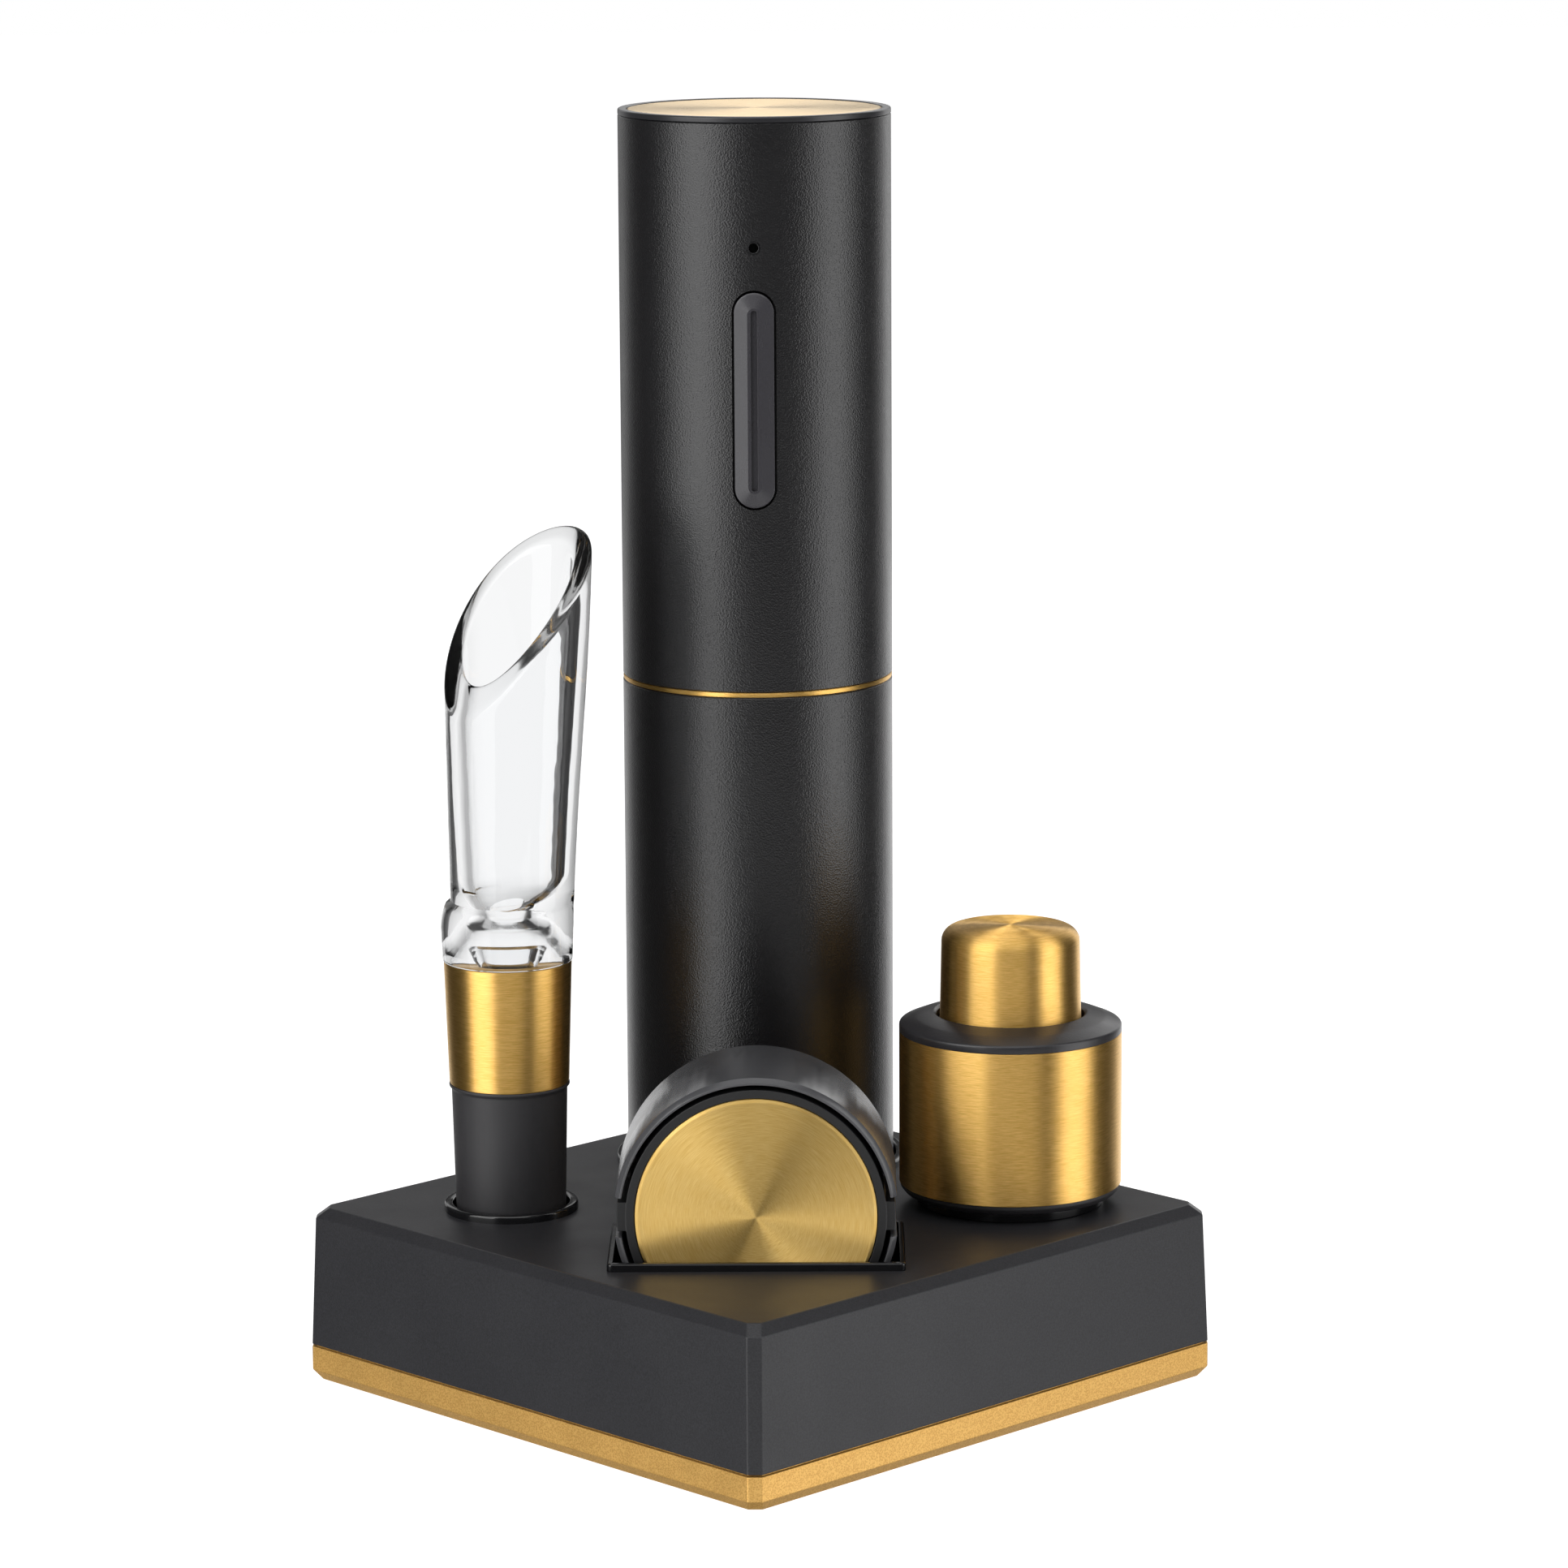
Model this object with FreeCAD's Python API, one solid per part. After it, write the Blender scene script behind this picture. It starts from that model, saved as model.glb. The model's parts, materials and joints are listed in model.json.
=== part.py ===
"""Electric wine opener set on a square stand. All sizes are in millimetres.

The origin is the centre of the stand on the surface it stands on. +Z is up, and one corner
of the square stand points along -Y, the side from which the set is used.
"""
import FreeCAD, Part
import math
import os

V = FreeCAD.Vector
X_AXIS = V(1, 0, 0)
Y_AXIS = V(0, 1, 0)
Z_AXIS = V(0, 0, 1)

# ---- stand ----
foot_proud = 0.6            # rubber feet below the base plate
plate_side = 113.3          # gold base plate across the flats
plate_height = 6.4
plate_chamfer = 1.3
deck = 31.8                 # height of the stand's top face
housing_top_side = 108.3
housing_draft = 0.75        # side wall leans in by this much before the top chamfer
deck_chamfer = 1.8
stand_corner = 1.7          # flat on each upright corner
stand_wall = 2.4
seam = 0.35                 # shadow line between plate and housing
tray_floor = 2.4
ballast_thick = 3.2
boss_reach = 64.0           # screw bosses from the centre, towards the four corners
boss_r = 3.4
trim_h = 1.4                # glossy trim rings above the deck

# ---- opener ----
opener_y = 33.8
opener_r = 24.0
opener_base = deck - 19.2
ring_top = deck + 89.4      # gold accent ring between the shells
ring_h = 0.85
cap_line = deck + 188.6
opener_top = deck + 189.6
shell_wall = 2.0
rim_w = 1.6
button_z = deck + 140.7
button_w = 6.9
button_len = 37.4
button_gap = 0.4
indicator_z = deck + 167.1
pivot_y = 18.4              # rocker pin, in front of the opener's axis
guide_r = 15.6              # bottle mouth seat
guide_len = 31.5
cork_r = 12.4
screw_coil_r = 3.3
screw_wire_r = 1.45
screw_pitch = 8.6
screw_tip = deck + 15.6
screw_root = deck + 67.2

# ---- planetary gears ----
module = 0.5
sun_teeth = 12
planet_teeth = 24
ring_teeth = 60
gear_z = deck + 86.5
gear_w = 6.0
planet_orbit = module * (sun_teeth + planet_teeth) / 2
planet_angles = (90, 210, 330)
motor_r = 12.0
motor_z = deck + 99.4
motor_len = 28.0
cell_r = 7.0
cell_len = 50.0
cell_z = deck + 130.6

# ---- aerator pourer ----
aer_x, aer_y = -43.45, -1.2
plug_bottom = deck - 21.0
sleeve_low = deck + 22.2
sleeve_high = deck + 44.5
spout_tip = deck + 119.6
spout_turn = 45.0           # the spout leans this far round from +X towards +Y

# ---- foil cutter ----
cut_y = -42.9               # front of the gold disc
cut_depth = 24.8
cut_z = deck + 9.0          # axis height
cut_r = 24.0
disc_r = 20.4
grip_in_r = 22.9
core_r = 22.0
lug_half = 2.5
grip_end = 3.4              # grips stop this far from the centre plane
squeeze = 0.7
wheel_r = 3.2
wheel_orbit = 18.6
neck_r = 15.3
slot_x, slot_y0, slot_y1 = 25.2, -44.2, -16.4

# ---- vacuum stopper ----
stop_x, stop_y = 44.2, 3.0
stop_r = 19.5
rim_low = deck + 2.0
sleeve_bottom = deck + 3.6
sleeve_top = deck + 30.7
collar_edge = deck + 32.0
collar_top = deck + 34.1
cap_r = 12.5
cap_top = deck + 49.5
cap_skirt = deck + 27.0
cap_travel = 6.0
stop_bore_r = 14.9


def cyl(r, z0, z1, x=0, y=0):
    return Part.makeCylinder(r, z1 - z0, V(x, y, z0))


def tube(ro, ri, z0, z1, x=0, y=0):
    return cyl(ro, z0, z1, x, y).cut(cyl(ri, z0 - 1, z1 + 1, x, y))


def box(x0, x1, y0, y1, z0, z1):
    return Part.makeBox(x1 - x0, y1 - y0, z1 - z0, V(x0, y0, z0))


def rod_y(r, y0, y1, x, z):
    return Part.makeCylinder(r, y1 - y0, V(x, y0, z), Y_AXIS)


def rod_x(r, x0, x1, y, z):
    return Part.makeCylinder(r, x1 - x0, V(x0, y, z), X_AXIS)


def tube_y(ro, ri, y0, y1, x, z):
    return rod_y(ro, y0, y1, x, z).cut(rod_y(ri, y0 - 1, y1 + 1, x, z))


def turned(points, x=0, y=0):
    """Solid of revolution about a vertical axis, from (radius, height) points."""
    pts = [V(x + r, y, z) for r, z in points]
    face = Part.Face(Part.makePolygon(pts + [pts[0]]))
    return face.revolve(V(x, y, 0), Z_AXIS, 360)


def fuse(*shapes):
    out = shapes[0]
    for s in shapes[1:]:
        out = out.fuse(s)
    return out.removeSplitter()


def cut(shape, *tools):
    for t in tools:
        shape = shape.cut(t)
    return shape


def group(shapes):
    return Part.makeCompound(list(shapes))


def square_wire(side, corner, z):
    """Square wire with cut corners, turned so that a corner points along -Y."""
    h = side / 2
    k = h - corner
    pts = []
    for i in range(4):
        turn = FreeCAD.Rotation(Z_AXIS, 45 + 90 * i)
        pts += [turn.multVec(V(h, -k, z)), turn.multVec(V(h, k, z))]
    return Part.makePolygon(pts + [pts[0]])


def square_loft(*levels):
    return Part.makeLoft([square_wire(s, c, z) for s, c, z in levels], True, True)


def pill_wire(w, length, y, z):
    """Upright pill outline in the plane at y, centred on x = 0."""
    r, k = w / 2, length / 2 - w / 2
    return Part.Wire([
        Part.LineSegment(V(-r, y, z - k), V(-r, y, z + k)).toShape(),
        Part.Arc(V(-r, y, z + k), V(0, y, z + k + r), V(r, y, z + k)).toShape(),
        Part.LineSegment(V(r, y, z + k), V(r, y, z - k)).toShape(),
        Part.Arc(V(r, y, z - k), V(0, y, z - k - r), V(-r, y, z - k)).toShape()])


def pill(w, length, y0, y1, z):
    return Part.Face(pill_wire(w, length, y0, z)).extrude(V(0, y1 - y0, 0))


def gear_outline(teeth, tip_r, root_r, half_tooth, z):
    """Closed involute gear outline with a tooth centred on +X.

    half_tooth is half the tooth's thickness at the pitch circle.
    """
    pitch_r = module * teeth / 2
    base_r = pitch_r * math.cos(math.radians(20))

    def involute(r):
        a = math.acos(min(1.0, base_r / r))
        return math.tan(a) - a

    start_r = max(base_r, root_r)
    flank = []
    for i in range(4):
        r = start_r + (tip_r - start_r) * i / 3
        flank.append((r, half_tooth / pitch_r + involute(pitch_r) - involute(r)))
    side = [(root_r, flank[0][1])] if root_r < start_r - 1e-6 else []
    side += flank
    pts = []
    for t in range(teeth):
        mid = 2 * math.pi * t / teeth
        pts += [V(r * math.cos(mid - a), r * math.sin(mid - a), z) for r, a in side]
        pts += [V(r * math.cos(mid + a), r * math.sin(mid + a), z) for r, a in reversed(side)]
    return Part.makePolygon(pts + [pts[0]])


def gear(teeth, z0, z1, turn, x, y, internal=False):
    grow = 1.0 if internal else -1.0
    pitch_r = module * teeth / 2
    half_tooth = module * math.pi / 4 + grow * 0.05
    tip = pitch_r + (1.25 if internal else 0.9) * module
    root = pitch_r - (0.9 if internal else 1.25) * module
    face = Part.Face(gear_outline(teeth, tip, root, half_tooth, 0))
    solid = face.extrude(V(0, 0, z1 - z0))
    solid.rotate(V(0, 0, 0), Z_AXIS, turn)
    solid.translate(V(x, y, z0))
    return solid


def coil(r, wire_r, pitch, z0, z1, x, y):
    """Round wire wound upward from z0 to z1 about a vertical axis."""
    path = Part.makeHelix(pitch, z1 - z0, r)
    start = Part.Wire(Part.makeCircle(wire_r, V(r, 0, 0), V(0, r, pitch / (2 * math.pi))))
    solid = path.makePipeShell([start], True, True)
    if solid.ShapeType != "Solid":
        solid = Part.Solid(solid)
    solid.translate(V(x, y, z0))
    return solid


def spring(r, wire_r, pitch, z0, z1, x, y, sides=8, per_turn=20):
    """Fine spring wire as a flat-sided helix, light enough for a small hidden piece."""
    stations = round((z1 - z0) / pitch * per_turn)
    area_fix = math.sqrt(2 * math.pi / (sides * math.sin(2 * math.pi / sides)))
    rings = []
    for i in range(stations + 1):
        turn = 2 * math.pi * i / per_turn
        out = V(math.cos(turn), math.sin(turn), 0)
        mid = V(x, y, z0 + (z1 - z0) * i / stations) + out * r
        along = V(-math.sin(turn) * r, math.cos(turn) * r, pitch / (2 * math.pi)).normalize()
        across = along.cross(out)
        angles = [2 * math.pi * k / sides for k in range(sides)]
        rings.append([mid + (out * math.cos(a) + across * math.sin(a)) * (wire_r * area_fix)
                      for a in angles])
    faces = [Part.Face(Part.makePolygon(end + end[:1])) for end in (rings[0], rings[-1])]
    for low, high in zip(rings, rings[1:]):
        for k in range(sides):
            n = (k + 1) % sides
            for corners in ((low[k], low[n], high[n]), (low[k], high[n], high[k])):
                faces.append(Part.Face(Part.makePolygon(corners + corners[:1])))
    shell = Part.makeShell(faces)
    shell.sewShape()
    return Part.makeSolid(shell)


def corner_spots(reach):
    return [(reach * math.cos(math.radians(a)), reach * math.sin(math.radians(a)))
            for a in (0, 90, 180, 270)]


# ------------------------------------------------------------------ stand
plate_low = foot_proud
plate_top = plate_low + plate_height


def stand_parts():
    inner_side = plate_side - 2 * 2.6
    plate = square_loft((plate_side - 2 * plate_chamfer, stand_corner, plate_low),
                        (plate_side, stand_corner, plate_low + plate_chamfer * 1.4),
                        (plate_side, stand_corner, plate_top - seam))
    plate = fuse(plate, square_loft((plate_side - 1.2, stand_corner, plate_top - seam),
                                    (plate_side - 1.2, stand_corner, plate_top)))
    plate = cut(plate, square_loft((inner_side, 1.5, plate_low + tray_floor),
                                   (inner_side, 1.5, plate_top + 1)))
    housing = square_loft((plate_side, stand_corner, plate_top),
                          (plate_side - 2 * housing_draft, stand_corner, deck - deck_chamfer),
                          (housing_top_side, stand_corner, deck))
    cavity_side = housing_top_side - 2 * 1.4
    housing = cut(housing, square_loft((cavity_side, 1.5, plate_top - 1),
                                       (cavity_side, 1.5, deck - stand_wall)))
    ballast = square_loft((inner_side - 3.0, 1.5, plate_low + tray_floor),
                          (inner_side - 3.0, 1.5, plate_low + tray_floor + ballast_thick))
    for x, y in corner_spots(boss_reach):
        boss = tube(boss_r, 1.3, plate_low + tray_floor + 0.05, deck - stand_wall + 0.5, x, y)
        housing = housing.fuse(boss)
        plate = cut(plate, cyl(6.6, plate_low - 1, plate_low + 0.7, x, y),
                    cyl(3.1, plate_low, plate_low + 1.5, x, y),
                    cyl(1.65, plate_low, plate_top, x, y))
        ballast = cut(ballast, cyl(boss_r + 0.4, plate_low, plate_top, x, y))
    housing = cut(housing,
                  cyl(25.7, deck - 5, deck + 1, 0, opener_y),
                  cyl(11.4, deck - 5, deck + 1, aer_x, aer_y),
                  box(-24.9, 24.9, slot_y0 + 0.3, slot_y1 - 0.3, deck - 5, deck + 1),
                  cyl(10.1, deck - 5, deck + 1, stop_x, stop_y))
    feet = [cyl(6.4, 0, plate_low + 0.65, x, y) for x, y in corner_spots(boss_reach)]
    screws = [fuse(cyl(2.9, plate_low + 0.7, plate_low + 1.5, x, y),
                   cyl(1.3, plate_low + 1.5, plate_low + 13.0, x, y))
              for x, y in corner_spots(boss_reach)]
    return {"base_plate": plate, "stand_housing": housing.removeSplitter(),
            "ballast_plate": ballast, "rubber_feet": group(feet), "base_screws": group(screws)}


def round_socket(bore_r, wall, flange_r, floor_z, x, y):
    """Moulded cup with a raised, rounded trim ring standing on the deck."""
    top = deck + trim_h
    edge = 0.35
    return turned([(0, floor_z - wall), (bore_r + wall, floor_z - wall), (bore_r + wall, deck),
                   (flange_r, deck), (flange_r, top - edge), (flange_r - edge, top),
                   (bore_r + edge, top), (bore_r, top - edge), (bore_r, floor_z),
                   (0, floor_z)], x, y)


def cutter_socket():
    wall = 1.0
    floor_z = cut_z - cut_r - 0.3
    outer = box(-slot_x, slot_x, slot_y0, slot_y1, deck, deck + trim_h)
    outer = outer.makeFillet(0.9, [e for e in outer.Edges
                                   if abs(e.Vertexes[0].Z - e.Vertexes[1].Z) > 1])
    outer = outer.makeChamfer(0.25, [e for e in outer.Edges if e.BoundBox.ZMin > deck + 1.3])
    well = box(-24.8, 24.8, slot_y0 + 0.4, slot_y1 - 0.4, floor_z - wall, deck)
    hollow = box(-slot_x + wall, slot_x - wall, slot_y0 + wall, slot_y1 - wall,
                 floor_z, deck + trim_h + 1)
    return cut(fuse(outer, well), hollow)


def stopper_post():
    """Low locating boss that the vacuum stopper sits over."""
    seat = rim_low - 0.1
    top = seat + 2.0
    return turned([(9.0, deck - 6), (10.0, deck - 6), (10.0, deck), (16.4, deck), (16.4, seat),
                   (14.5, seat), (14.5, top - 0.5), (14.0, top), (0, top), (0, top - 1.4),
                   (9.0, top - 1.4)], stop_x, stop_y)


# ------------------------------------------------------------------ opener shells
def opener_front(shape):
    """Moves a piece modelled about x = y = 0 onto the opener's axis."""
    shape.translate(V(0, opener_y, 0))
    return shape


def opener_shells():
    r, w = opener_r, shell_wall
    upper = turned([(r - w, ring_top), (r - 0.25, ring_top), (r, ring_top + 0.25),
                    (r, cap_line - 0.25), (r - 0.25, cap_line), (r - w, cap_line)])
    upper = cut(upper,
                pill(button_w + 2 * button_gap, button_len + 2 * button_gap, -r - 2, -r + 4,
                     button_z),
                rod_y(0.85, -r - 1, -r + 4, 0, indicator_z),
                rod_y(1.2, -r - 1, -r + 0.25, 0, indicator_z),
                box(-4.7, 4.7, r - 4, r + 1, ring_top + 12.2, ring_top + 15.8))
    low_top = ring_top - ring_h
    spigot = r - w - 0.1
    lower = turned([(r - 2.2, opener_base), (r - 0.6, opener_base), (r, opener_base + 0.6),
                    (r, low_top - 0.25), (r - 0.25, low_top), (spigot, low_top),
                    (spigot, ring_top + 4), (spigot - 1.4, ring_top + 4),
                    (spigot - 1.4, low_top - 4), (r - 2.2, low_top - 6)])
    accent = turned([(spigot + 0.05, low_top), (r - 0.05, low_top), (r - 0.05, ring_top),
                     (spigot + 0.05, ring_top)])
    rim = turned([(0, cap_line - 1.5), (r - w - 0.1, cap_line - 1.5), (r - w - 0.1, cap_line),
                  (r - 0.15, cap_line), (r, cap_line + 0.15), (r, opener_top - 0.3),
                  (r - 0.3, opener_top), (r - rim_w, opener_top),
                  (r - rim_w, opener_top - 0.8), (0, opener_top - 0.8)])
    disc = turned([(0, opener_top - 0.8), (r - rim_w - 0.08, opener_top - 0.8),
                   (r - rim_w - 0.08, opener_top - 0.25), (r - rim_w - 0.3, opener_top - 0.08),
                   (0, opener_top - 0.08)])
    guide_top = screw_root + 7.0
    guide = turned([(guide_r, opener_base + 0.8), (r - 2.5, opener_base + 0.8),
                    (r - 2.5, opener_base + guide_len + 3), (cork_r + 1.6, opener_base + guide_len + 3),
                    (cork_r + 1.6, guide_top - 3), (r - 2.5, guide_top - 3),
                    (r - 2.5, guide_top), (cork_r, guide_top),
                    (cork_r, opener_base + 0.8 + guide_len), (guide_r, opener_base + 0.8 + guide_len)])
    return {"upper_shell": opener_front(upper), "lower_shell": opener_front(lower),
            "accent_ring": opener_front(accent),
            "top_rim": opener_front(rim), "top_disc": opener_front(disc),
            "bottle_guide": opener_front(guide)}


# ------------------------------------------------------------------ rocker button and electronics
def button_parts():
    face_y = -opener_r
    body = pill(button_w, button_len, face_y - 0.15, -20.4, button_z)
    roof = Part.makeLoft([pill_wire(button_w, button_len, face_y - 0.15, button_z),
                          pill_wire(2.3, button_len - 5.2, face_y - 0.95, button_z)], True, True)
    groove = pill(1.15, button_len - 5.9, face_y - 2, face_y - 0.35, button_z)
    flange = box(-4.4, 4.4, -20.4, -19.6, button_z - 20.3, button_z + 20.3)
    lug = box(-3.4, 3.4, -19.6, -17.4, button_z - 2.0, button_z + 2.0)
    plungers = [rod_y(1.0, -19.6, -18.2, 0, button_z + s * 12) for s in (-1, 1)]
    rocker = fuse(body, roof, flange, lug, *plungers)
    rocker = cut(rocker, groove, rod_x(0.85, -5, 5, -pivot_y, button_z))
    pin = rod_x(0.8, -6.7, 6.7, -pivot_y, button_z)
    board_y = -16.4
    bracket = fuse(box(-6.8, 6.8, board_y - 0.6, board_y, button_z - 4, button_z + 4),
                   *[box(s * 5.9 - 0.9, s * 5.9 + 0.9, -19.9, board_y, button_z - 2.2, button_z + 2.2)
                     for s in (-1, 1)])
    bracket = cut(bracket, rod_x(0.8, -9, 9, -pivot_y, button_z))
    board = box(-12.8, 12.8, board_y, board_y + 1.6, button_z - 30, indicator_z + 8)
    switches = [fuse(box(-3, 3, board_y - 1.0, board_y, button_z + s * 12 - 3, button_z + s * 12 + 3),
                     rod_y(1.6, board_y - 1.4, board_y - 1.0, 0, button_z + s * 12))
                for s in (-1, 1)]
    lens = fuse(rod_y(0.8, -opener_r + 0.9, -20.5, 0, indicator_z),
                rod_y(1.5, -20.5, board_y, 0, indicator_z))
    port_z = ring_top + 14
    port = box(-4.5, 4.5, 16.6, 23.4, port_z - 1.6, port_z + 1.6)
    port = port.makeFillet(1.5, [e for e in port.Edges if abs(e.BoundBox.YLength - 6.8) < 0.01])
    slot = box(-4.1, 4.1, 17.6, 24, port_z - 1.2, port_z + 1.2)
    tongue = box(-3.3, 3.3, 17.2, 22.6, port_z - 0.35, port_z + 0.35)
    port = port.cut(slot).fuse(tongue)
    return {"rocker_button": opener_front(rocker), "rocker_pin": opener_front(pin),
            "rocker_bracket": opener_front(bracket),
            "circuit_board": opener_front(group([board] + switches)),
            "indicator_lens": opener_front(lens), "charge_port": opener_front(port)}


# ------------------------------------------------------------------ drive
def drive_parts():
    mid = gear_z
    gear_top = gear_z + gear_w
    ring_cut = gear(ring_teeth, mid - 0.4, gear_top + 3.4, 180 / ring_teeth, 0, 0, internal=True)
    house = fuse(cyl(19.6, mid - 4.4, gear_top + 3.0), cyl(8.0, mid - 10.4, mid - 4.4))
    house = cut(house, ring_cut, cyl(4.8, mid - 12, mid), cyl(15.9, mid - 2.6, mid - 0.4))
    cover = cut(cyl(19.6, gear_top + 3.0, motor_z), cyl(2.6, gear_top, motor_z + 1),
                *[cyl(1.1, gear_top, motor_z + 1, x, y) for x, y in ((-8, 0), (8, 0))])
    motor = fuse(cyl(motor_r, motor_z, motor_z + motor_len),
                 cyl(3.4, motor_z + motor_len, motor_z + motor_len + 1.6))
    motor = cut(motor, cyl(1.02, motor_z - 1, motor_z + 10),
                *[cyl(1.0, motor_z - 1, motor_z + 3, x, y) for x, y in ((-8, 0), (8, 0))])
    sun_turn = planet_angles[0]
    pinion = fuse(gear(sun_teeth, mid + 0.3, gear_top - 0.3, sun_turn, 0, 0),
                  cyl(1.0, gear_top - 0.3, motor_z + 9.5), cyl(2.2, gear_top - 0.3, gear_top + 1.8))
    planets = {}
    pins = []
    for name, angle in zip(("a", "b", "c"), planet_angles):
        px = planet_orbit * math.cos(math.radians(angle))
        py = planet_orbit * math.sin(math.radians(angle))
        half_pitch = 180.0 / planet_teeth
        wheel = cut(gear(planet_teeth, mid + 0.2, gear_top - 0.2, angle + half_pitch, px, py),
                    cyl(1.55, mid - 1, gear_top + 1, px, py))
        planets["planet_gear_" + name] = opener_front(wheel)
        pins.append(cyl(1.5, mid - 0.5, gear_top + 0.4, px, py))
    carrier = fuse(cyl(13.4, mid - 2.3, mid - 0.1), cyl(3.7, mid - 12.2, mid - 2.3), *pins)
    bush = tube(4.75, 3.75, mid - 10.3, mid - 4.6)
    holder = turned([(0, screw_root - 2.4), (5.2, screw_root - 2.4), (6.0, screw_root - 1.6),
                     (6.0, screw_root + 6.6), (0, screw_root + 6.6)])
    helix = coil(screw_coil_r, screw_wire_r, screw_pitch, screw_tip, screw_root + 1.5, 0, 0)
    shank = cyl(3.7, screw_root + 6.6, mid - 12.2)
    carrier = fuse(carrier, shank)
    tip = Part.makeCone(0.25, screw_wire_r * 0.96, 5.2)
    tilt = math.degrees(math.atan2(screw_pitch, 2 * math.pi * screw_coil_r))
    tip.translate(V(0, 0, -5.2))
    tip.rotate(V(0, 0, 0), X_AXIS, tilt - 90)
    tip.translate(V(screw_coil_r, 0, screw_tip))
    helix = helix.fuse(tip)
    holder = holder.cut(helix)
    motor_screws = [fuse(cyl(0.95, gear_top + 3.6, motor_z + 2.6, x, y),
                         cyl(1.8, gear_top + 2.2, gear_top + 3.0, x, y).fuse(
                             cyl(0.95, gear_top + 3.0, gear_top + 3.6, x, y)))
                    for x, y in ((-8, 0), (8, 0))]
    parts = {"gearbox_housing": house, "gearbox_cover": cover, "drive_motor": motor,
             "motor_pinion": pinion, "planet_carrier": carrier, "output_bush": bush,
             "screw_holder": holder, "corkscrew": helix, "motor_screws": group(motor_screws)}
    parts = {n: opener_front(s) for n, s in parts.items()}
    parts.update(planets)
    return parts


def chassis_parts():
    low, high = motor_z + 0.1, cell_z + cell_len + 3.5
    frame = cut(tube(21.6, 20.2, low, high), box(-30, 30, -30, -9.5, low - 1, high + 1),
                box(-5.2, 5.2, 10, 30, ring_top + 11.4, ring_top + 16.6))
    shelf_z = motor_z + motor_len + 0.6
    shelf = cut(cyl(20.6, shelf_z + 1.1, cell_z - 0.6), box(-30, 30, -30, -14.4, 0, 400))
    lid = cut(cyl(20.6, cell_z + cell_len + 0.9, high), box(-30, 30, -30, -14.4, 0, 400))
    frame = fuse(frame, shelf, lid)
    cells = [fuse(cyl(cell_r, cell_z, cell_z + cell_len - 1.2, x, 3.0),
                  cyl(2.6, cell_z + cell_len - 1.2, cell_z + cell_len, x, 3.0)) for x in (-7.6, 7.6)]
    return {"chassis": opener_front(frame), "battery_cells": opener_front(group(cells))}


# ------------------------------------------------------------------ aerator pourer
def aerator_parts():
    x, y = aer_x, aer_y
    plug = turned([(4.2, plug_bottom), (8.4, plug_bottom), (9.0, plug_bottom + 1.2),
                   (9.62, deck + 1), (10.2, sleeve_low), (10.55, sleeve_low + 0.05),
                   (10.45, sleeve_low + 0.55), (9.55, sleeve_low + 0.55),
                   (9.55, sleeve_low + 8.0), (4.2, sleeve_low + 8.0)], x, y)
    for i in range(3):
        z = plug_bottom + 4.0 + 4.2 * i
        plug = plug.fuse(turned([(8.8, z), (9.85, z + 0.9), (8.8, z + 1.5)], x, y))
    sleeve = turned([(9.6, sleeve_low + 0.6), (10.35, sleeve_low + 0.6), (10.45, sleeve_low + 0.8),
                     (11.15, sleeve_high - 0.2), (11.05, sleeve_high), (10.1, sleeve_high)], x, y)
    funnel_top = deck + 49.0
    funnel = turned([(3.0, sleeve_low + 10.0), (9.4, sleeve_low + 10.0), (9.4, sleeve_high + 0.2),
                     (7.0, funnel_top), (5.9, funnel_top), (2.6, sleeve_high - 4), (2.6, sleeve_low + 14)],
                    x, y)
    return {"aerator_plug": plug.removeSplitter(), "aerator_sleeve": sleeve,
            "aerator_funnel": funnel, "aerator_spout": spout(x, y)}


def oval(cx, rx, ry, z):
    return Part.Wire(Part.Ellipse(V(cx, 0, z), rx, ry).toShape())


def spout(x, y):
    """Clear pouring spout: a thick oval tube that leans one way and is cut off at a slant."""
    base = sleeve_high + 0.1
    levels = [(deck + 54, 0.55, 10.9, 10.6), (deck + 77, 2.0, 11.8, 11.4),
              (deck + 100, 3.0, 12.8, 12.3), (deck + 123, 3.5, 13.2, 12.7)]
    outer = Part.makeLoft([oval(c, rx, ry, z) for z, c, rx, ry in levels], True)
    foot = turned([(0, base), (11.35, base), (11.55, base + 6), (11.6, base + 9.2),
                   (11.0, base + 10.2), (10.4, base + 10.4), (0, base + 10.4)])
    body = outer.fuse(foot)
    bowl_r = 7.4
    inner = [(deck + 60, 1.1, bowl_r, bowl_r - 0.2), (deck + 82, 2.2, 8.5, 8.2),
             (deck + 104, 3.1, 9.4, 9.0), (deck + 126, 3.6, 10.2, 9.8)]
    channel = Part.makeLoft([oval(c, rx, ry, z) for z, c, rx, ry in inner], True)
    channel = channel.fuse(Part.makeSphere(bowl_r, V(1.1, 0, deck + 60)))
    seat = turned([(0, base - 1), (9.6, base - 1), (9.6, base + 0.25), (7.3, deck + 49.4),
                   (5.9, deck + 51.0), (3.2, deck + 51.6), (3.2, deck + 54), (0, deck + 54)])
    body = cut(body, channel, seat)
    low = V(-13.0, -30, deck + 82.6)
    mid = V(4.0, -30, deck + 107.4)
    tip = V(16.9, -30, spout_tip)
    far = 40.0
    high = deck + 150
    arc = Part.Arc(low, mid, tip).toShape()
    corners = [tip, V(far, -30, spout_tip), V(far, -30, high), V(-far, -30, high),
               V(-far, -30, low.z), low]
    lines = [Part.LineSegment(a, b).toShape() for a, b in zip(corners, corners[1:])]
    knife = Part.Face(Part.Wire([arc] + lines)).extrude(V(0, 60, 0))
    body = body.cut(knife)
    body.rotate(V(0, 0, 0), Z_AXIS, spout_turn)
    body.translate(V(x, y, 0))
    return body


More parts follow.
